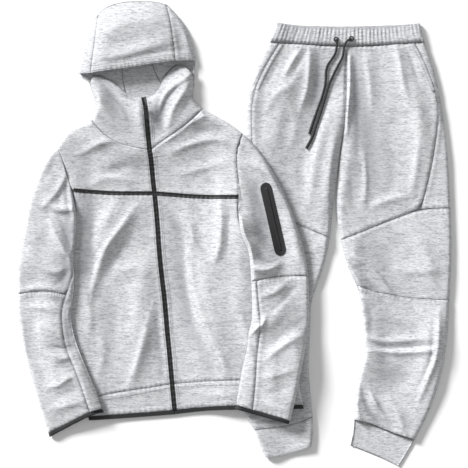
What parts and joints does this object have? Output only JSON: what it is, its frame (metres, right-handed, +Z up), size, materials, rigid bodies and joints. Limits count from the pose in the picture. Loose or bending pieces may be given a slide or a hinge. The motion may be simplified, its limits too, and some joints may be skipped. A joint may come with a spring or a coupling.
{
  "type": "tracksuit",
  "caption": "Two-piece tracksuit laid flat: a hooded zip jacket with a sleeve pocket, and panelled joggers with a gathered drawcord waist.",
  "frame": {"origin": "on the surface the set lies on, in the middle of the set's outline", "axes": "+Z up, the side that is seen; +Y towards the hood and the waistband; -X at the wearer's right of the jacket"},
  "size_m": [1.002, 1.0716, 0.0507],
  "materials": {
    "cloth": "brushed heather-grey fleece",
    "trim": "matte black bonded tape",
    "hardware": "semi-gloss black",
    "cord": "braided black cord"
  },
  "bodies": {
    "garments": {"chest_tape_left": "trim", "chest_tape_right": "trim", "collar_left": "cloth", "collar_right": "cloth", "cuff_binding_left": "trim", "cuff_binding_right": "trim", "drawcord_left": "cord", "drawcord_right": "cord", "drawcord_tip_left": "trim", "drawcord_tip_right": "trim", "eyelet_left": "hardware", "eyelet_right": "hardware", "front_lower_left": "cloth", "front_lower_right": "cloth", "front_upper_left": "cloth", "front_upper_right": "cloth", "hem_band_back": "cloth", "hem_band_left": "cloth", "hem_band_right": "cloth", "hem_binding_back": "trim", "hem_binding_left": "trim", "hem_binding_right": "trim", "hood_back": "cloth", "hood_crown": "cloth", "hood_side_left": "cloth", "hood_side_right": "cloth", "jacket_back": "cloth", "knee_panel_left": "cloth", "knee_panel_right": "cloth", "leg_back_left": "cloth", "leg_back_right": "cloth", "leg_cuff_left": "cloth", "leg_cuff_right": "cloth", "pocket_welt_left": "cloth", "pocket_welt_right": "cloth", "shin_panel_left": "cloth", "shin_panel_right": "cloth", "side_panel_left": "cloth", "side_panel_right": "cloth", "sleeve_back_left": "cloth", "sleeve_back_right": "cloth", "sleeve_lower_left": "cloth", "sleeve_lower_right": "cloth", "sleeve_pocket": "trim", "sleeve_pocket_zip": "trim", "sleeve_under_left": "cloth", "sleeve_under_right": "cloth", "sleeve_upper_left": "cloth", "sleeve_upper_right": "cloth", "thigh_front_left": "cloth", "thigh_front_right": "cloth", "waistband_back": "cloth", "waistband_front": "cloth", "zip_chain": "trim", "zip_slider": "hardware", "zip_tape_left": "trim", "zip_tape_right": "trim"},
    "pull_tab": {"zip_pull": "hardware"}
  },
  "joints": [
    {"name": "pull_tab_hinge", "type": "hinge", "parent": "garments", "child": "pull_tab", "pos_m": [-0.20337, 0.28827, 0.03005], "axis": [-0.9821, -0.1883, 0], "range_deg": [0, 150]}
  ]
}
